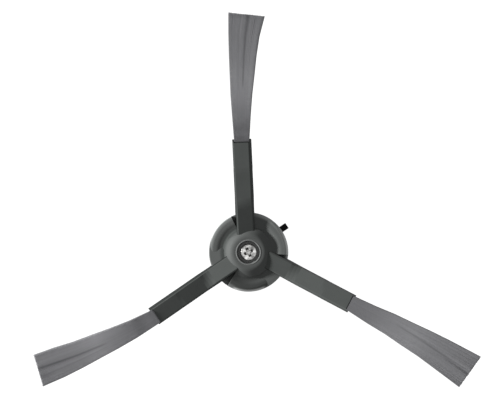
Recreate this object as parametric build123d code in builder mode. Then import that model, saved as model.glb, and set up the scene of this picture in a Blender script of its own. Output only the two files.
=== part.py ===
from build123d import *
from math import atan2, cos, degrees, radians, sin, tan
import os

os.makedirs("parts", exist_ok=True)

# Sizes in millimetres, angles in degrees. Z points out of the screw side; z = 0 is the rim of the hollow back.

# Hub moulding
hub_radius = 12.75
skirt_wall = 1.6
ceiling_height = 3.2
foot_chamfer = 0.3
deck_height = 8.1

# Boss around the screw: flat top and a conical flank
boss_height = 10.6
boss_radius = 4.7
flank_angle = 31.0
flank_round = 2.8
flank_foot_radius = 7.9

# Petals: ramps on the deck that fall counter-clockwise, each with a trough, a crest and a rounded rim.
# Angles are taken from the arm before the petal, heights from the crest at the middle of the petal.
petal_height = 9.19
petal_tilt = 8.0
petal_start = 23.5
petal_middle = 57.5
petal_span = 84.0
petal_inner_radius = 6.2
petal_inner_rise = 0.48
petal_depth = 4.4
petal_trim = 0.2
trough_radius = 8.65
trough_drop = 0.28
trough_round = 1.3
crest_radius = 10.75
rim_radius = 1.6

# Facets beside the arms, rising towards them from the low end of a petal
facet_drop = 0.65
facet_width = 11.0
facet_depth = 3.0

# Recess for the screw head
recess_mouth_radius = 3.67
recess_floor_radius = 3.4
recess_floor_height = 9.3
lip_width = 0.4
lip_rise = 0.08

# Arms: rubber sleeves of one section, set at three azimuths
arm_width = 6.3
arm_thickness = 4.2
arm_edge_radius = 0.55
arm_draft = 0.4
arm_wall = 0.75
arm_root = 5.9
arm_centre_height = 7.85
arm_bend_start = 14.0
arm_bend_length = 3.8
arm_socket_start = 26.0
arm_socket_blend = 1.2
hub_slant = 8.0
shaft_roll = 3.0
socket_roll = 4.5
shaft_pitch = 11.0
socket_pitch = 8.0
lip_set_back = 0.8
bend_steps = 3

# Tongues of the hub inside the sleeves
tongue_wall = 0.95
tongue_start = 4.6
tongue_end = 12.4

# Name, azimuth, offset to the left of the hub axis and reach of each sleeve
arms = (
    ("top", 92.7, 0.62, 36.1),
    ("left", 214.45, -0.13, 36.5),
    ("right", 332.45, 0.72, 36.8),
)

# Bristle tufts: distance from the hub axis and fan width at each section beyond the sleeve
tuft_along = (44.0, 50.3, 56.5, 62.7, 68.9)
tuft_width = (5.85, 6.8, 7.75, 8.65, 9.75)
tuft_embed = 1.0
tuft_neck = 0.6
tuft_root_thickness = 2.5
tuft_tip_thickness = 3.4
tuft_columns = 10
tuft_layers = 2
lock_fill = 0.93
lock_stagger = 0.45

# Sideways drift of each tuft at the same sections, and the distance, drift, width and slant of its tip
tuft_drift = {
    "top": (-0.29, -0.58, -1.10, -1.60, -2.28),
    "left": (-0.74, -1.72, -2.87, -3.98, -5.38),
    "right": (-0.17, -0.06, -0.31, -0.46, -0.85),
}
tuft_tip = {
    "top": (75.2, -3.39, 11.3, -0.15),
    "left": (75.3, -6.86, 10.2, 0.5),
    "right": (79.2, -1.67, 11.3, 0.35),
}

# Screw
screw_head_radius = 2.62
screw_head_height = 1.2
screw_head_round = 0.55
screw_shank_radius = 1.6
screw_thread_radius = 1.25
screw_thread_length = 4.4
screw_point = 0.7
screw_length = 8.4
cross_length = 3.1
cross_width = 0.95
cross_depth = 1.0
cross_foot = 0.55
cross_turn = 23.0

# Drive plate in the back of the hub
plate_thickness = 1.4
plate_inset = 0.4
neck_radius = 4.0
neck_height = 6.0
neck_web = 0.7
socket_across = 4.4
post_wall = 1.6
tab_width = 2.0
tab_height = 1.9
tab_reach = 15.1
tab_azimuth = 34.1

# Fits
seat_gap = 0.05
plate_gap = 0.1
screw_gap = 0.2


# Plane across an arm or tuft: local X points to the left of the arm, local Y out of its upper face
def cross_plane(azimuth, along, left, height, heading=0.0, pitch=0.0, roll=0.0):
    ahead = Vector(cos(radians(azimuth)), sin(radians(azimuth)), 0)
    side = Vector(-sin(radians(azimuth)), cos(radians(azimuth)), 0)
    up = Vector(0, 0, 1)
    level = ahead * cos(radians(heading)) + side * sin(radians(heading))
    tangent = level * cos(radians(pitch)) + up * sin(radians(pitch))
    across = side * cos(radians(heading)) - ahead * sin(radians(heading))
    normal = up * cos(radians(pitch)) - level * sin(radians(pitch))
    rolled = across * cos(radians(roll)) - normal * sin(radians(roll))
    centre = ahead * along + side * left + up * height
    return Plane(origin=centre, x_dir=rolled, z_dir=tangent)


# Section of a sleeve: sides with draft and an upper face that slants up to the left
def sleeve_section(slant, gap=0.0):
    half = arm_width / 2 + gap
    narrow = half - arm_draft
    floor = -arm_thickness / 2
    top = arm_thickness / 2 + gap
    rise = narrow * tan(radians(slant))
    Polygon((-half, floor), (half, floor), (narrow, top + rise), (-narrow, top - rise), align=None)


# Stations of a sleeve's centre line: distance, height, pitch, roll and slant
def sleeve_stations(reach):
    stations = [(arm_root, arm_centre_height, 0.0, 0.0, hub_slant)]
    stations.append((arm_bend_start, arm_centre_height, 0.0, 0.0, hub_slant))
    along = arm_bend_start
    height = arm_centre_height
    step = arm_bend_length / bend_steps
    for count in range(1, bend_steps + 1):
        share = count / bend_steps
        middle_pitch = shaft_pitch * (share - 0.5 / bend_steps)
        along = along + step
        height = height + step * tan(radians(middle_pitch))
        stations.append((along, height, shaft_pitch * share, shaft_roll * share, hub_slant * (1 - share)))
    height = height + (arm_socket_start - along) * tan(radians(shaft_pitch))
    stations.append((arm_socket_start, height, shaft_pitch, shaft_roll, 0.0))
    height = height + arm_socket_blend * tan(radians((shaft_pitch + socket_pitch) / 2))
    stations.append((arm_socket_start + arm_socket_blend, height, socket_pitch, socket_roll, 0.0))
    along = arm_socket_start + arm_socket_blend
    height = height + (reach - along) * tan(radians(socket_pitch))
    stations.append((reach, height, socket_pitch, socket_roll, 0.0))
    return stations


# Derived sizes
skirt_inner = hub_radius - skirt_wall
flank_run = flank_round * sin(radians(flank_angle))
flank_drop = flank_round * (1 - cos(radians(flank_angle)))
flank_straight = flank_foot_radius - boss_radius - flank_run
flank_foot_height = boss_height - flank_drop - flank_straight * tan(radians(flank_angle))
petal_radius = hub_radius + petal_trim
trough_run = trough_round * sin(radians(flank_angle))
trough_rise = trough_round * (1 - cos(radians(flank_angle)))
trough_inner = (trough_radius - trough_run, trough_rise - trough_drop)
wall_middle = ((crest_radius + trough_radius) / 2, -trough_drop / 2)
facet_height = arm_centre_height + arm_thickness / 2 - facet_drop
post_radius = neck_radius + post_wall
plate_top = plate_inset + plate_thickness
tongue_width = arm_width - 2 * tongue_wall
tongue_thickness = arm_thickness - 2 * tongue_wall
slot_width = arm_width - 2 * arm_wall
slot_thickness = arm_thickness - 2 * arm_wall
root_width = slot_width - 2 * seat_gap
hole_radius = screw_shank_radius + screw_gap
screw_top = recess_floor_height + screw_head_height
screw_end = recess_floor_height - screw_length
thread_top = screw_end + screw_thread_length

# Hub: turned base with a hollow back
with BuildPart() as hub:
    with BuildSketch(Plane.XZ):
        with BuildLine():
            Polyline(
                (post_radius, ceiling_height),
                (skirt_inner, ceiling_height),
                (skirt_inner, 0),
                (hub_radius - foot_chamfer, 0),
                (hub_radius, foot_chamfer),
                (hub_radius, deck_height),
                (hole_radius, deck_height),
                (hole_radius, neck_height),
                (neck_radius, neck_height),
                (neck_radius, plate_top),
                (post_radius, plate_top),
                close=True,
            )
        make_face()
    revolve(axis=Axis.Z)
    # Petals, turned about axes that lean towards the next arm
    for arm_name, azimuth, left, reach in arms:
        lean = cross_plane(azimuth + petal_middle, 0, 0, petal_height, roll=petal_tilt)
        swing = radians(petal_middle - petal_start)
        outward = lean.z_dir * cos(swing) - lean.x_dir * sin(swing)
        with BuildSketch(Plane(origin=lean.origin, x_dir=outward, z_dir=outward.cross(lean.y_dir))):
            with BuildLine():
                Polyline(
                    (petal_radius, -rim_radius),
                    (petal_radius, -petal_depth),
                    (petal_inner_radius, -petal_depth),
                    (petal_inner_radius, petal_inner_rise),
                    trough_inner,
                )
                TangentArc((trough_radius, -trough_drop), trough_inner, tangent=(-1, 0))
                TangentArc((trough_radius, -trough_drop), wall_middle, tangent=(1, 0))
                TangentArc((crest_radius, 0), wall_middle, tangent=(-1, 0))
                Line((crest_radius, 0), (petal_radius - rim_radius, 0))
                TangentArc((petal_radius - rim_radius, 0), (petal_radius, -rim_radius), tangent=(1, 0))
            make_face()
        revolve(axis=Axis(lean.origin, lean.y_dir), revolution_arc=petal_span)
    # Facets beside the arms, slanted like their upper faces
    for arm_name, azimuth, left, reach in arms:
        section = cross_plane(azimuth, 0, left, facet_height, roll=-hub_slant)
        with BuildSketch(Plane(origin=section.origin, x_dir=section.z_dir, z_dir=section.y_dir)):
            with Locations((boss_radius, 0)):
                Rectangle(2 * hub_radius, facet_width, align=(Align.MIN, Align.MAX))
        extrude(amount=-facet_depth)
    # Rim trimmed to the round of the skirt
    with BuildSketch(Plane.XY):
        Circle(4 * hub_radius)
        Circle(hub_radius, mode=Mode.SUBTRACT)
    extrude(amount=2 * boss_height, mode=Mode.SUBTRACT)
    # Boss with the screw recess and a small lip around it
    with BuildSketch(Plane.XZ):
        with BuildLine():
            Polyline(
                (flank_foot_radius, flank_foot_height),
                (flank_foot_radius, neck_height),
                (hole_radius, neck_height),
                (hole_radius, recess_floor_height),
                (recess_floor_radius, recess_floor_height),
                (recess_mouth_radius, boss_height),
            )
            ThreePointArc(
                (recess_mouth_radius, boss_height),
                (recess_mouth_radius + lip_width / 2, boss_height + lip_rise),
                (recess_mouth_radius + lip_width, boss_height),
            )
            Line((recess_mouth_radius + lip_width, boss_height), (boss_radius, boss_height))
            TangentArc(
                (boss_radius, boss_height),
                (boss_radius + flank_run, boss_height - flank_drop),
                tangent=(1, 0),
            )
            Line(
                (boss_radius + flank_run, boss_height - flank_drop),
                (flank_foot_radius, flank_foot_height),
            )
        make_face()
    revolve(axis=Axis.Z)
    # Channels that the sleeves lie in, running in under the flank of the boss
    for arm_name, azimuth, left, reach in arms:
        with BuildSketch(cross_plane(azimuth, arm_root - seat_gap, left, arm_centre_height)):
            sleeve_section(hub_slant, seat_gap)
        extrude(amount=hub_radius, mode=Mode.SUBTRACT)
    # Tongues for the sleeves
    for arm_name, azimuth, left, reach in arms:
        with BuildSketch(cross_plane(azimuth, tongue_start, left, arm_centre_height)):
            Rectangle(tongue_width, tongue_thickness)
        extrude(amount=tongue_end - tongue_start)
    # Slot in the skirt for the tab of the drive plate
    with BuildSketch(cross_plane(tab_azimuth, post_radius, 0, 0)):
        Rectangle(tab_width + 2 * plate_gap, 2 * (plate_inset + tab_height + plate_gap))
    extrude(amount=hub_radius, mode=Mode.SUBTRACT)
hub.part.label = "hub"
export_step(hub.part, "parts/hub.step")

# Arms: sleeves bent outside the rim, hollow at both ends
for arm_name, azimuth, left, reach in arms:
    stations = sleeve_stations(reach)
    with BuildPart() as arm:
        for along, height, pitch, roll, slant in stations:
            with BuildSketch(cross_plane(azimuth, along, left, height, 0, pitch, roll)):
                sleeve_section(slant)
                fillet(vertices(), arm_edge_radius)
        loft(ruled=True)
        root = stations[0]
        with BuildSketch(cross_plane(azimuth, root[0], left, root[1], 0, root[2], root[3])):
            Rectangle(tongue_width + 2 * seat_gap, tongue_thickness + 2 * seat_gap)
        extrude(amount=tongue_end - arm_root + seat_gap, mode=Mode.SUBTRACT)
        mouth = stations[-1]
        mouth_plane = cross_plane(azimuth, mouth[0], left, mouth[1], 0, mouth[2], mouth[3])
        with BuildSketch(mouth_plane):
            Rectangle(slot_width, slot_thickness)
        extrude(amount=arm_socket_start + arm_socket_blend - reach, mode=Mode.SUBTRACT)
        with BuildSketch(mouth_plane):
            with Locations((0, arm_thickness / 2)):
                Rectangle(slot_width, arm_thickness)
        extrude(amount=-lip_set_back, mode=Mode.SUBTRACT)
    arm.part.label = "arm_" + arm_name
    export_step(arm.part, "parts/arm_" + arm_name + ".step")

# Tufts: a bound root in the sleeve and two layers of locks that fan out and drift sideways
for arm_name, azimuth, left, reach in arms:
    mouth = sleeve_stations(reach)[-1]
    tip_along, tip_drift, tip_width, tip_slant = tuft_tip[arm_name]
    along_list = (reach - tuft_embed, reach + tuft_neck) + tuft_along + (tip_along,)
    width_list = (root_width, root_width) + tuft_width + (tip_width,)
    drift_list = (0.0, 0.0) + tuft_drift[arm_name] + (tip_drift,)
    last = len(along_list) - 1
    with BuildPart() as tuft:
        with BuildSketch(cross_plane(azimuth, mouth[0], left, mouth[1], 0, mouth[2], mouth[3])):
            Rectangle(root_width, slot_thickness - 2 * seat_gap)
        extrude(amount=arm_socket_start + arm_socket_blend - reach + seat_gap)
        locks = []
        for layer in range(tuft_layers):
            for column in range(tuft_columns):
                share = (column + 0.5) / tuft_columns - 0.5
                stagger = lock_stagger * ((column * 5 + layer * 7) % 11 / 5.0 - 1.0)
                for index in (0, 1, 3, 5, last):
                    along = along_list[index]
                    before = max(index - 1, 1)
                    after = min(index + 1, last)
                    run = along_list[after] - along_list[before]
                    slope = (drift_list[after] - drift_list[before]) / run if index > 1 else 0.0
                    heading = degrees(atan2(slope, 1))
                    height = mouth[1] + (along - reach) * tan(radians(socket_pitch))
                    part_way = (along - along_list[0]) / (tip_along - along_list[0])
                    thickness = tuft_root_thickness + (tuft_tip_thickness - tuft_root_thickness) * part_way
                    layer_thickness = thickness / tuft_layers
                    rise = (layer - (tuft_layers - 1) / 2) * layer_thickness
                    lengthen = (stagger + tip_slant * 2 * share) * (1 if index == last else 0)
                    here = left + drift_list[index] + slope * lengthen
                    width = width_list[index]
                    with BuildSketch(
                        cross_plane(azimuth, along + lengthen, here, height, heading, socket_pitch, socket_roll)
                    ):
                        with Locations((share * width, rise)):
                            Rectangle(width / tuft_columns * lock_fill, layer_thickness * lock_fill)
                locks.append(loft(ruled=True, clean=False, mode=Mode.PRIVATE))
        add(locks, clean=False)
    tuft.part.label = "tuft_" + arm_name
    export_step(tuft.part, "parts/tuft_" + arm_name + ".step")

# Screw: pan head with a cross recess
with BuildPart() as screw:
    with BuildSketch(Plane.XZ):
        with BuildLine():
            Polyline(
                (0, screw_end),
                (screw_thread_radius - screw_point * 0.6, screw_end),
                (screw_thread_radius, screw_end + screw_point),
                (screw_thread_radius, thread_top),
                (screw_shank_radius, thread_top),
                (screw_shank_radius, recess_floor_height),
                (screw_head_radius, recess_floor_height),
                (screw_head_radius, screw_top - screw_head_round),
            )
            TangentArc(
                (screw_head_radius, screw_top - screw_head_round),
                (screw_head_radius - screw_head_round, screw_top),
                tangent=(0, 1),
            )
            Polyline((screw_head_radius - screw_head_round, screw_top), (0, screw_top), (0, screw_end))
        make_face()
    revolve(axis=Axis.Z)
    for depth, share in ((-cross_depth, 2 - cross_foot), (cross_depth, cross_foot)):
        with BuildSketch(Plane.XY.offset(screw_top - depth)):
            with Locations(Rotation(0, 0, cross_turn)):
                Rectangle(cross_length * share, cross_width * share)
                Rectangle(cross_width * share, cross_length * share)
    loft(ruled=True, mode=Mode.SUBTRACT)
screw.part.label = "screw"
export_step(screw.part, "parts/screw.step")

# Drive plate: disc with a square socket in its neck and one locating tab
with BuildPart() as drive_plate:
    with BuildSketch(Plane.XY.offset(plate_inset)):
        Circle(skirt_inner - plate_gap)
    extrude(amount=plate_thickness)
    with BuildSketch(Plane.XY.offset(plate_inset)):
        Circle(neck_radius - plate_gap)
    extrude(amount=neck_height - plate_inset)
    with BuildSketch(cross_plane(tab_azimuth, post_radius + plate_gap, 0, plate_inset + tab_height / 2)):
        Rectangle(tab_width, tab_height)
    extrude(amount=tab_reach - post_radius - plate_gap)
    with BuildSketch(Plane.XY.offset(plate_inset)):
        Rectangle(socket_across, socket_across)
    extrude(amount=neck_height - neck_web - plate_inset, mode=Mode.SUBTRACT)
    with BuildSketch(Plane.XY):
        Circle(hole_radius)
    extrude(amount=boss_height, mode=Mode.SUBTRACT)
drive_plate.part.label = "drive_plate"
export_step(drive_plate.part, "parts/drive_plate.step")
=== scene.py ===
import math
import random

import bmesh
import bpy
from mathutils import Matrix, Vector


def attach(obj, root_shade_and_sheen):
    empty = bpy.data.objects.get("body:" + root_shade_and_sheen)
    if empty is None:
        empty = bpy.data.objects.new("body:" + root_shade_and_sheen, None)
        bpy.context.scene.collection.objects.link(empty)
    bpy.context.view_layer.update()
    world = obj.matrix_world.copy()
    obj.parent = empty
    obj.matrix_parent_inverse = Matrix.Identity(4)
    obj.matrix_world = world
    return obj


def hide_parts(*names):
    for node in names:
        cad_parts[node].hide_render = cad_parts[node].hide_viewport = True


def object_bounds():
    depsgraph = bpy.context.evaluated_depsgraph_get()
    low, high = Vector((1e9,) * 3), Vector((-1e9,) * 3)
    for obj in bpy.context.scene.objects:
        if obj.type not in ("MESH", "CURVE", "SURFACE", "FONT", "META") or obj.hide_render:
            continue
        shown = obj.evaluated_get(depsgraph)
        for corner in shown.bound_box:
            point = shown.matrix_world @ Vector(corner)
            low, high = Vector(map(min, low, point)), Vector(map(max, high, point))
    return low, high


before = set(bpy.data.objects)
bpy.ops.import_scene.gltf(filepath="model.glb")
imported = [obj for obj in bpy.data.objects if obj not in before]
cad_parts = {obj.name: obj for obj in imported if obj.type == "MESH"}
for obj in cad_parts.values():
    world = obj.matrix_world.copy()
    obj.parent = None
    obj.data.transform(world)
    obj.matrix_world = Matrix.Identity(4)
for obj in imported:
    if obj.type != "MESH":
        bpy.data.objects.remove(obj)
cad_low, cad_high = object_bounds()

scene = bpy.context.scene


# Hub: one rigid injection moulding in dark grey plastic, with a screw boss and three ramped petals
# between the arms. The mould's spark-eroded surface leaves a fine even grain. Its colour carries rings of
# painted light and shade: painted highlights on the rim and the boss lip, painted light on the screw recess
# floor, and painted shade in the trough on the left and on the rim beside the right arm.
# It is the CAD's own mesh with a new finish.
class Wire:
    """A value, vector or colour on its way through one material's nodes."""

    def __init__(self, tree, socket=None):
        self.tree = tree
        self.socket = socket

    def node(self, kind, settings=(), inputs=(), output=0):
        made = self.tree.nodes.new(kind)
        for name, value in dict(settings).items():
            if name == "stops":
                ramp = made.color_ramp
                while len(ramp.elements) < len(value):
                    ramp.elements.new(0.5)
                for element, (place, level) in zip(ramp.elements, value):
                    element.position = place
                    element.color = (level, level, level, 1)
            else:
                setattr(made, name, value)
        for name, value in dict(inputs).items():
            if isinstance(value, Wire):
                self.tree.links.new(value.socket, made.inputs[name])
            else:
                made.inputs[name].default_value = value
        return Wire(self.tree, made.outputs[output])

    def math(self, operation, first, second):
        return self.node("ShaderNodeMath", {"operation": operation}, {0: first, 1: second})

    def __add__(self, other):
        return self.math("ADD", self, other)

    def __radd__(self, other):
        return self.math("ADD", other, self)

    def __sub__(self, other):
        return self.math("SUBTRACT", self, other)

    def __rsub__(self, other):
        return self.math("SUBTRACT", other, self)

    def __mul__(self, other):
        return self.math("MULTIPLY", self, other)

    def __pow__(self, other):
        return self.math("POWER", self, other)

    def __rpow__(self, other):
        return self.math("POWER", other, self)


def new_finish(name, constants):
    """A new material with a bare Principled shader; constants go straight on its sockets."""
    finish = bpy.data.materials.new(name)
    finish.use_nodes = True
    shader = finish.node_tree.nodes["Principled BSDF"]
    for socket, value in constants.items():
        shader.inputs[socket].default_value = value
    return finish, shader, Wire(finish.node_tree)


def feed(finish, shader, **wires):
    """Links the wires to the shader's sockets of the same names."""
    for socket, wire in wires.items():
        finish.node_tree.links.new(wire.socket, shader.inputs[socket.replace("_", " ")])


def blend_colours(wire, share, dark, light):
    """A colour between two, by a share that changes over the surface."""
    return wire.node("ShaderNodeMix", {"data_type": "RGBA"}, {0: share, 6: dark, 7: light}, 2)


def step_between(wire, value, low, high, full=1.0):
    """A smooth step from 0 at low to full at high, or the other way if low is the larger."""
    return wire.node(
        "ShaderNodeMapRange",
        {"interpolation_type": "SMOOTHSTEP"},
        {0: value, 1: low, 2: high, 3: 0.0, 4: full},
    )


def noise(wire, place, scale, detail, roughness=0.5):
    """Cloudy noise between 0 and 1, with 0.5 as its middle."""
    return wire.node(
        "ShaderNodeTexNoise",
        {},
        {"Vector": place, "Scale": scale, "Detail": detail, "Roughness": roughness},
    )


def moulded_finish(name, dark, light, roughness, specular, grain_size, grain_depth, rings=(), wall=None):
    """Moulded plastic or rubber: cloudy colour, patchy gloss and an even fine grain. Each ring paints light
    or
    shade: it has steps in radius and in height, a side that it keeps to and a painted colour; a wall has
    the way it faces and a colour painted on the walls that face that way, as painted light or shade."""
    finish, shader, wire = new_finish(name, {"Specular IOR Level": specular})
    place = wire.node("ShaderNodeTexCoord", output=3)
    cloud = noise(wire, place, 160, 5, 0.6)
    smear = noise(wire, place, 700, 3)
    grain = noise(wire, place, 1 / grain_size, 2)
    share = wire.node("ShaderNodeClamp", {}, {0: cloud * 1.2 - 0.1 + (smear - 0.5) * 0.5})
    bump = wire.node("ShaderNodeBump", {}, {"Strength": 0.35, "Distance": grain_depth, "Height": grain})
    colour = blend_colours(wire, share, dark, light)
    apart = wire.node("ShaderNodeSeparateXYZ", {}, {0: place})
    x, y, z = (Wire(wire.tree, socket) for socket in apart.socket.node.outputs)
    facing = wire.node("ShaderNodeNewGeometry", output=1)
    upward = wire.node("ShaderNodeSeparateXYZ", {}, {0: facing}, 2)
    radius = (x * x + y * y) ** 0.5
    # Each ring lays painted light, or painted shade, on the colour.
    for radii, heights, side, painted_colour in rings:
        painted_share = step_between(wire, z, *heights) * step_between(wire, upward, 0.05, 0.4)
        for low, high in zip(radii[::2], radii[1::2]):
            painted_share = painted_share * step_between(wire, radius, low, high)
        if side is not None:
            turn, from_share, to_share = side
            faced = wire.math("DIVIDE", x * math.cos(turn) + y * math.sin(turn), radius)
            painted_share = painted_share * step_between(wire, faced, from_share, to_share)
        colour = blend_colours(wire, painted_share, colour, painted_colour)
    # The wall colour is painted light or shade on the walls facing that way.
    if wall is not None:
        turn, wall_paint = wall
        outward = (math.cos(turn), math.sin(turn), 0)
        faced = wire.node("ShaderNodeVectorMath", {"operation": "DOT_PRODUCT"}, {0: facing, 1: outward}, 1)
        colour = blend_colours(wire, step_between(wire, faced, 0.2, 0.7), colour, wall_paint)
    feed(
        finish,
        shader,
        Base_Color=colour,
        Roughness=roughness + (smear - 0.5) * 0.14 + (cloud - 0.5) * 0.1,
        Normal=bump,
    )
    return finish


# Hub rings, all painted light and shade: painted highlights on the rim at the right, bottom and left and a
# dimmer one beside the left arm, painted shade on the rim beside the right arm and in the trough on the
# left, painted light on the screw recess floor and a painted highlight on the boss lip.
above_skirt = (0.0060, 0.0075)
rim_right_highlight = ((0.0112, 0.0123), above_skirt, (math.radians(30), 0.45, 0.9), (0.115, 0.12, 0.117, 1))
rim_bottom_highlight = ((0.01175, 0.01255), above_skirt, (math.radians(-60), -0.3, 0.3), (0.25, 0.255, 0.252, 1))
rim_end_right_shade = ((0.0112, 0.0119), above_skirt, (math.radians(311), 0.94, 0.978), (0.034, 0.036, 0.035, 1))
rim_end_left_highlight = ((0.0112, 0.0119), above_skirt, (math.radians(231), 0.94, 0.978), (0.060, 0.062, 0.061, 1))
rim_left_highlight = ((0.0124, 0.0127), above_skirt, (math.radians(150), -0.5, 0.3), (0.13, 0.135, 0.132, 1))
trough_left_shade = (
    (0.0069, 0.0079, 0.0096, 0.0085),
    (0.0080, 0.0084),
    (math.radians(150), 0.1, 0.7),
    (0.022, 0.024, 0.023, 1),
)
recess_floor_light = ((0.00362, 0.00345), (0.0089, 0.0091), None, (0.11, 0.112, 0.11, 1))
boss_lip_highlight = ((0.00425, 0.00400), (0.0105, 0.0106), None, (0.060, 0.062, 0.061, 1))
hub_finish = moulded_finish(
    "hub_satin_plastic",
    dark=(0.034, 0.036, 0.035, 1),
    light=(0.040, 0.042, 0.041, 1),
    roughness=0.6,
    specular=0.02,
    grain_size=0.00022,
    grain_depth=0.00002,
    rings=(
        rim_right_highlight,
        rim_bottom_highlight,
        rim_end_right_shade,
        rim_end_left_highlight,
        rim_left_highlight,
        trough_left_shade,
        recess_floor_light,
        boss_lip_highlight,
    ),
)
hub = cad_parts["hub"]
hub.data.materials.clear()
hub.data.materials.append(hub_finish)

# Arms: three soft rubber sleeves, moulded in one with their bend and pushed over the hub's tongues.
# The rubber is smoother than the hub, and has faint clouds where it has been handled. Painted shade
# darkens the walls that face the light, and painted light makes the one that lies in the shade paler.
# Each arm's rubber is lighter or darker by its own gain, as painted light for how the light falls on it.
lit_wall_painted_shade = (math.radians(150), (0.011, 0.012, 0.0115, 1))
shaded_wall_painted_light = (math.radians(62), (0.058, 0.060, 0.059, 1))
# The gain on each arm's colour is painted light; the wall colour is painted shade or painted light.
for arm_name, painted_light_gain, wall in (
    ("arm_top", 1.0, lit_wall_painted_shade),
    ("arm_left", 1.28, lit_wall_painted_shade),
    ("arm_right", 1.05, shaded_wall_painted_light),
):
    rubber_finish = moulded_finish(
        arm_name + "_soft_rubber",
        dark=(0.026 * painted_light_gain, 0.028 * painted_light_gain, 0.027 * painted_light_gain, 1),
        light=(0.031 * painted_light_gain, 0.033 * painted_light_gain, 0.032 * painted_light_gain, 1),
        roughness=0.6,
        specular=0.0,
        grain_size=0.00016,
        grain_depth=0.00001,
        wall=wall,
    )
    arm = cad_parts[arm_name]
    arm.data.materials.clear()
    arm.data.materials.append(rubber_finish)

# Tufts: some hundreds of thin nylon bristles each, bound in the mouth of the sleeve and cut straight.
# They fan out, lean to one side and lie so close that a tuft looks like one sheet; its faint creases are
# painted shade on the colour.
MM = 0.001
bristle_count = 900
sheet_count = 230
side_count = 45
bristle_radius = 0.06
bristle_sides = 4
mouth_pitch = math.radians(8)
mouth_roll = math.radians(4.5)
root_width = 4.7
root_thickness = 2.6
tip_thickness = 3.3
fan_along = (44.0, 50.3, 56.5, 62.7, 68.9)
fan_width = (5.85, 6.8, 7.75, 8.65, 9.75)
tuft_embed = 3.0
lip_set_back = 0.75
tuft_neck = 0.35
neck_width = 4.75
neck_thickness = 3.9
tip_ring = 0.2
tip_ring_part_way = 0.99
tip_starts = 0.98
edge_drop = 0.15
edge_sharpness = 24
wander_deviation = 0.008
sink_deviation = 0.004
length_deviation = 0.09
inner_step_across = 0.7548776662
inner_step_deep = 0.5698402910
inner_fill = 0.9

# Azimuth, offset, reach and mouth height of the sleeve; drift of the fan; distance, drift, width and
# slant of the tip; creases, which are painted shade, as start and full length along the tuft, place
# across it at the start and at the tip, width there, and how dark they are (painted highlights on ridges
# are below zero; wide ones paint shade on the whole tuft from there on, and light where below zero);
# spread and nudge set the outline of the bristles; the gain scales each tuft's colour, as painted light
# for how the key light falls on it
tufts = {
    "tuft_top": dict(
        azimuth=92.7, left=0.62, reach=36.1, height=11.6,
        drift=(-0.29, -0.58, -1.10, -1.60, -2.28),
        tip=(75.2, -3.39, 11.3, -0.15),
        creases=(
            (0.44, 0.52, -0.10, -0.10, 0.07, 0.11, 0.30),
            (0.40, 0.46, 0.32, 0.30, 0.05, 0.03, 0.10),
            (0.75, 0.90, 0.25, 0.22, 0.04, 0.04, -0.12),
            (0.75, 0.90, -0.30, -0.27, 0.04, 0.04, -0.12),
            (0.50, 0.65, -0.86, -0.90, 0.05, 0.04, 0.10),
            (0.18, 0.32, -0.65, -0.70, 0.30, 0.20, -0.08),
            (0.02, 0.08, 0.0, 0.0, 3.0, 3.0, -0.14),
            (0.11, 0.18, 0.0, 0.0, 3.0, 3.0, 0.16),
            (0.28, 0.40, 0.0, 0.0, 3.0, 3.0, -0.06),
        ),
        seed=11, painted_light_gain=1.0, spread=1.01, nudge=-0.11,
    ),
    "tuft_left": dict(
        azimuth=214.45, left=-0.13, reach=36.5, height=11.65,
        drift=(-0.74, -1.72, -2.87, -3.98, -5.38),
        tip=(75.65, -6.95, 10.2, 0.44),
        creases=(
            (0.44, 0.54, 0.13, -0.13, 0.07, 0.09, 0.30),
            (0.44, 0.50, 0.42, 0.40, 0.06, 0.04, 0.10),
            (0.50, 0.60, 0.28, 0.20, 0.08, 0.08, -0.06),
            (0.84, 0.97, 0.60, 0.45, 0.12, 0.16, 0.08),
            (0.22, 0.40, -0.60, -0.50, 0.30, 0.20, -0.08),
            (0.02, 0.08, 0.0, 0.0, 3.0, 3.0, -0.24),
            (0.11, 0.25, 0.0, 0.0, 3.0, 3.0, 0.40),
            (0.38, 0.56, 0.0, 0.0, 3.0, 3.0, -0.13),
            (0.62, 0.80, 0.0, 0.0, 3.0, 3.0, 0.05),
        ),
        seed=23, painted_light_gain=1.62, spread=1.0, nudge=0.20,
    ),
    "tuft_right": dict(
        azimuth=332.45, left=0.72, reach=36.8, height=11.69,
        drift=(-0.17, -0.06, -0.31, -0.46, -0.85),
        tip=(79.2, -1.67, 11.3, 0.35),
        creases=(
            (0.37, 0.46, 0.30, -0.20, 0.06, 0.10, 0.20),
            (0.40, 0.50, 0.48, 0.02, 0.07, 0.09, -0.07),
            (0.72, 0.90, 0.45, 0.30, 0.06, 0.06, 0.06),
            (0.60, 0.80, -0.92, -0.92, 0.05, 0.05, 0.10),
            (0.16, 0.34, -0.65, -0.60, 0.30, 0.20, -0.08),
        ),
        seed=37, painted_light_gain=0.73, spread=1.03, nudge=0.0,
    ),
}


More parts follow.
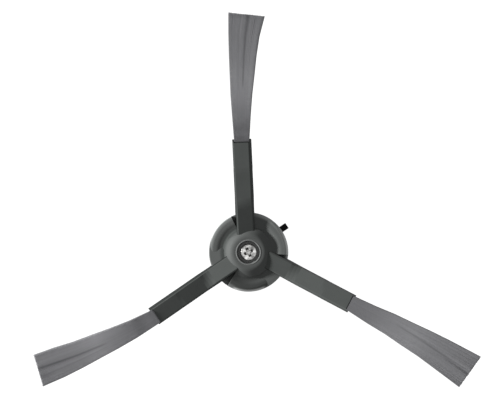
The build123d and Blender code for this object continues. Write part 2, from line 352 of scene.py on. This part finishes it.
def tuft_stations(tuft):
    """Centre, directions, width and thickness above and below the centre at each section of a tuft."""
    tip_along, tip_drift, tip_width = tuft["tip"][:3]
    lip = tuft["reach"] - lip_set_back
    alongs = (tuft["reach"] - tuft_embed, lip, lip + tuft_neck) + fan_along + (tip_along,)
    widths = (root_width, root_width, neck_width) + fan_width + (tip_width,)
    drifts = (0.0, 0.0, 0.0) + tuft["drift"] + (tip_drift,)
    last = len(alongs) - 1
    turn = math.radians(tuft["azimuth"])
    ahead = Vector((math.cos(turn), math.sin(turn), 0))
    side = Vector((-math.sin(turn), math.cos(turn), 0))
    up = Vector((0, 0, 1))
    stations = []
    for index, along in enumerate(alongs):
        before = max(index - 1, 2)
        after = min(index + 1, last)
        slope = 0.0
        if index > 2:
            slope = (drifts[after] - drifts[before]) / (alongs[after] - alongs[before])
        heading = math.atan(slope)
        level = ahead * math.cos(heading) + side * math.sin(heading)
        across = side * math.cos(heading) - ahead * math.sin(heading)
        normal = up * math.cos(mouth_pitch) - level * math.sin(mouth_pitch)
        tangent = level * math.cos(mouth_pitch) + up * math.sin(mouth_pitch)
        rolled = across * math.cos(mouth_roll) - normal * math.sin(mouth_roll)
        height = tuft["height"] + (along - tuft["reach"]) * math.tan(mouth_pitch)
        centre = ahead * along + side * (tuft["left"] + drifts[index]) + up * height
        part_way = (along - alongs[0]) / (tip_along - alongs[0])
        swollen = neck_thickness + (tip_thickness - neck_thickness) * part_way
        above = root_thickness if index < 2 else swollen
        below = root_thickness if index < 3 else swollen
        section = (rolled, normal, tangent, widths[index], above, below)
        if index == last:
            stations.append((tip_ring_part_way, centre - tangent * tip_ring) + section)
        stations.append((part_way, centre) + section)
    return stations


def make_tuft(name, tuft):
    """One mesh of separate bristles: close sheets above, below and at the sides, the rest between them."""
    chance = random.Random(tuft["seed"])
    stations = tuft_stations(tuft)
    levels = len(stations)
    tip_slant = tuft["tip"][3]
    mesh = bmesh.new()
    strand_layer = mesh.verts.layers.float.new("strand")
    along_layer = mesh.verts.layers.float.new("along")
    across_layer = mesh.verts.layers.float.new("across")
    upper_layer = mesh.verts.layers.float.new("upper")
    bmesh.ops.create_cone(mesh, cap_ends=True, segments=bristle_sides, radius1=1, radius2=1, depth=1)
    long_edges = [e for e in mesh.edges if abs(e.verts[0].co.z - e.verts[1].co.z) > 0.5]
    bmesh.ops.subdivide_edges(mesh, edges=long_edges, cuts=levels - 2, use_grid_fill=True)
    for face in mesh.faces:
        face.smooth = abs(face.normal.z) < 0.5
    pattern = list(mesh.verts) + list(mesh.edges) + list(mesh.faces)
    ring = [(v, round((v.co.z + 0.5) * (levels - 1)), v.co.x, v.co.y) for v in mesh.verts]
    for number in range(bristle_count):
        if number < 2 * sheet_count:
            spread_across = ((number % sheet_count) + chance.random()) / sheet_count * 2 - 1
            spread_deep = 1.0 if number < sheet_count else -1.0
        elif number < 2 * (sheet_count + side_count):
            in_side = number - 2 * sheet_count
            spread_across = 1.0 if in_side < side_count else -1.0
            spread_deep = ((in_side % side_count) + 0.5) / side_count * 2 - 1
        else:
            spread_across = (0.5 + number * inner_step_across) % 1.0 * 2 - 1
            spread_deep = ((0.5 + number * inner_step_deep) % 1.0 * 2 - 1) * inner_fill
        shade = chance.random()
        wander = chance.gauss(0, wander_deviation)
        sink = abs(chance.gauss(0, sink_deviation))
        length = chance.gauss(0, length_deviation) + tip_slant * spread_across
        line = []
        for part_way, centre, rolled, normal, tangent, width, above, below in stations:
            q = max(-1.0, min(1.0, spread_across + wander * part_way))
            deep = spread_deep * (1 - sink * part_way)
            edge = 1 - edge_drop + edge_drop * (1 - abs(q) ** edge_sharpness) ** 0.5
            x = q * width / 2 * tuft["spread"] + tuft["nudge"]
            y = deep * edge * ((above if deep > 0 else below) / 2 - bristle_radius)
            at_tip = length if part_way > tip_starts else 0.0
            place = centre + rolled * x + normal * y + tangent * at_tip
            line.append((place, rolled, normal, part_way, q))
        copied = bmesh.ops.duplicate(mesh, geom=pattern)["vert_map"]
        for source, level, ring_x, ring_y in ring:
            place, rolled, normal, part_way, q = line[level]
            vert = copied[source]
            vert.co = (place + (rolled * ring_x + normal * ring_y) * bristle_radius) * MM
            vert[strand_layer] = shade
            vert[along_layer] = part_way
            vert[across_layer] = q
            vert[upper_layer] = 1.0 if number < sheet_count else 0.0
    bmesh.ops.delete(mesh, geom=[source for source, level, ring_x, ring_y in ring], context="VERTS")
    bmesh.ops.recalc_face_normals(mesh, faces=mesh.faces)
    data = bpy.data.meshes.new(name)
    mesh.to_mesh(data)
    mesh.free()
    piece = bpy.data.objects.new(name, data)
    scene.collection.objects.link(piece)
    return piece


def bristle_finish(name, creases, seed, painted_light_gain):
    """Grey nylon with long faint streaks. Painted shade darkens the root and the tuft's creases, and
    painted light lightens the middle of the tuft and its ridges. The upper bristles lie so close that light
    meets them as a level sheet, so their normals are nearly upright, apart from the cut ends. The bristles
    under them and at the sides get one dark colour, as painted shade."""
    finish, shader, wire = new_finish(name, {"Specular IOR Level": 0.0})
    strand = wire.node("ShaderNodeAttribute", {"attribute_name": "strand"}, output=2)
    along = wire.node("ShaderNodeAttribute", {"attribute_name": "along"}, output=2)
    across = wire.node("ShaderNodeAttribute", {"attribute_name": "across"}, output=2)
    upper = wire.node("ShaderNodeAttribute", {"attribute_name": "upper"}, output=2)
    facing = wire.node("ShaderNodeNewGeometry", output=1)
    upright = wire.node("ShaderNodeCombineXYZ", {}, {2: upper * step_between(wire, along, 0.999, 0.992)})
    level = wire.node(
        "ShaderNodeVectorMath",
        {"operation": "MULTIPLY_ADD"},
        {0: facing, 1: (0.15, 0.15, 0.15), 2: upright},
    )
    level = wire.node("ShaderNodeVectorMath", {"operation": "NORMALIZE"}, {0: level})
    # Painted shade at the root, where the sleeve shades it, and a painted sheen along the middle of the
    # tuft.
    root_shade_and_sheen = wire.node(
        "ShaderNodeValToRGB",
        {"stops": ((0.0, 0.42), (0.12, 0.50), (0.40, 0.90), (0.54, 1.0), (0.69, 0.86), (1.0, 0.78))},
        {0: along},
    )
    lengthways = wire.node("ShaderNodeCombineXYZ", {}, {0: across * 5.0, 1: along * 1.6, 2: float(seed)})
    streak = noise(wire, lengthways, 1.6, 4, 0.6)
    share = root_shade_and_sheen * 0.8 + (strand - 0.5) * 0.06 + (streak - 0.5) * 0.22
    # Dark creases are painted shade and light ridges are painted highlights.
    for start, full, at_start, at_tip, wide_start, wide_tip, dark in creases:
        run = (along - start) * (1 / (1 - start))
        away = (across - at_start - run * (at_tip - at_start)) * (1 / wide_start)
        if wide_tip != wide_start:
            away = away * (1 - run * (1 - wide_start / wide_tip))
        fade = step_between(wire, along, start, full, dark)
        share = share - fade * (math.e ** (0.0 - away * away))
    outer = blend_colours(
        wire,
        share,
        (0.030 * painted_light_gain, 0.030 * painted_light_gain, 0.032 * painted_light_gain, 1),
        (0.170 * painted_light_gain, 0.170 * painted_light_gain, 0.177 * painted_light_gain, 1),
    )
    # Bristles outside the upper sheet get one dark colour, as painted shade.
    feed(
        finish,
        shader,
        Base_Color=blend_colours(wire, upper, (0.045, 0.045, 0.047, 1), outer),
        Roughness=0.5 + strand * 0.2,
        Normal=level,
    )
    return finish


for node_name, tuft in tufts.items():
    piece = make_tuft(node_name.replace("tuft", "bristles"), tuft)
    nylon_finish = bristle_finish(piece.name + "_nylon", tuft["creases"], tuft["seed"], tuft["painted_light_gain"])
    piece.data.materials.append(nylon_finish)
    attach(piece, "root")
    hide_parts(node_name)

# Screw: a plated steel pan head screw with a cross recess, which holds the brush on the drive shaft.
# The plating is blotched, with small scuffs; painted highlights give it bright spots, and painted shade
# darkens one side of its edge and a ring in the cross.
screw_finish, screw_shader, wire = new_finish("screw_plated_steel", {"Metallic": 1.0})
place = wire.node("ShaderNodeTexCoord", output=3)
scuff = noise(wire, place, 900, 6, 0.65)
blotch = noise(wire, place, 620, 3, 0.6)
scuff_bump = wire.node("ShaderNodeBump", {}, {"Strength": 0.6, "Distance": 0.0001, "Height": scuff})
apart = wire.node("ShaderNodeSeparateXYZ", {}, {0: place})
x, y, z = (Wire(wire.tree, socket) for socket in apart.socket.node.outputs)
radius = (x * x + y * y) ** 0.5
# Painted shade: a dark ring inside the cross recess.
in_cross = step_between(wire, radius, 0.0019, 0.0016) * step_between(wire, z, 0.01045, 0.0101)
cross_painted_shade = in_cross * step_between(wire, radius, 0.0005, 0.0011)
# Painted shade on the left edge of the head.
painted_shade_side = step_between(wire, radius, 0.0019, 0.0024) * step_between(wire, x, -0.0008, -0.0016)
blotch_and_highlights = step_between(wire, blotch, 0.36, 0.64)
# Painted highlights: bright spots on the plating.
painted_highlight_spots = ((0.00065, 0.0001), (-0.0016, 0.0005), (-0.0007, -0.0019), (0.0019, 0.0003))
for spot_x, spot_y in painted_highlight_spots:
    away = ((x - spot_x) * (x - spot_x) + (y - spot_y) * (y - spot_y)) ** 0.5
    blotch_and_highlights = blotch_and_highlights + step_between(wire, away, 0.0008, 0.0001) * 0.7
plated = blend_colours(
    wire,
    wire.node("ShaderNodeClamp", {}, {0: blotch_and_highlights * 0.8}),
    (0.19, 0.19, 0.185, 1),
    (0.82, 0.82, 0.805, 1),
)
plated = blend_colours(wire, cross_painted_shade, plated, (0.11, 0.11, 0.108, 1))
feed(
    screw_finish,
    screw_shader,
    Base_Color=blend_colours(wire, painted_shade_side, plated, (0.07, 0.07, 0.068, 1)),
    Roughness=0.22 + scuff * 0.25,
    Normal=scuff_bump,
)
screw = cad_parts["screw"]
screw.data.materials.clear()
screw.data.materials.append(screw_finish)

# Drive plate: a black moulded insert in the hollow back, with the square socket for the motor shaft
# and one tab that locks it in the skirt. It shows past the rim only at that tab.
plate_finish = moulded_finish(
    "plate_black_plastic",
    dark=(0.0015, 0.0015, 0.0015, 1),
    light=(0.003, 0.003, 0.003, 1),
    roughness=0.6,
    specular=0.08,
    grain_size=0.0002,
    grain_depth=0.00001,
)
drive_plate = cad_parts["drive_plate"]
drive_plate.data.materials.clear()
drive_plate.data.materials.append(plate_finish)

# Floor: a plain white table, lit so evenly that no shadow shows on it.
# It lies just under the rim of the hub's back.
floor_size = 6.0
floor_drop = 0.0002
mesh = bmesh.new()
bmesh.ops.create_grid(mesh, x_segments=1, y_segments=1, size=floor_size / 2)
bmesh.ops.translate(mesh, verts=mesh.verts, vec=(0, 0, cad_low.z - floor_drop))
floor_data = bpy.data.meshes.new("floor")
mesh.to_mesh(floor_data)
mesh.free()
floor = bpy.data.objects.new("floor", floor_data)
scene.collection.objects.link(floor)
floor_look = {
    "Base Color": (0.04, 0.04, 0.04, 1),
    "Roughness": 0.9,
    "Specular IOR Level": 0.0,
    "Emission Color": (1, 1, 1, 1),
    "Emission Strength": 1.03,
}
floor_finish = new_finish("floor_white", floor_look)[0]
floor.data.materials.append(floor_finish)

# Light: white surroundings and one low key light from the left, a little behind the brush.
key_azimuth = math.radians(168)
key_elevation = math.radians(12)
key_strength = 22.0
key_angle = math.radians(6)
surround_strength = 0.9
towards_key = Vector(
    (
        math.cos(key_azimuth) * math.cos(key_elevation),
        math.sin(key_azimuth) * math.cos(key_elevation),
        math.sin(key_elevation),
    )
)
key_data = bpy.data.lights.new("key", "SUN")
key_data.energy = key_strength
key_data.angle = key_angle
key = bpy.data.objects.new("key", key_data)
key.rotation_mode = "QUATERNION"
key.rotation_quaternion = towards_key.to_track_quat("Z", "Y")
scene.collection.objects.link(key)
world = bpy.data.worlds.new("surroundings")
world.use_nodes = True
world.node_tree.nodes["Background"].inputs["Color"].default_value = (1, 1, 1, 1)
world.node_tree.nodes["Background"].inputs["Strength"].default_value = surround_strength
scene.world = world
scene.view_settings.view_transform = "Standard"

# Camera: straight above the brush, as in the photograph.
camera_place = Vector((0.00029, 0.01466, 0.5106))
camera_data = bpy.data.cameras.new("camera")
camera_data.lens = 112.7
camera_data.sensor_width = 36
camera = bpy.data.objects.new("camera", camera_data)
camera.location = camera_place
scene.collection.objects.link(camera)
scene.camera = camera
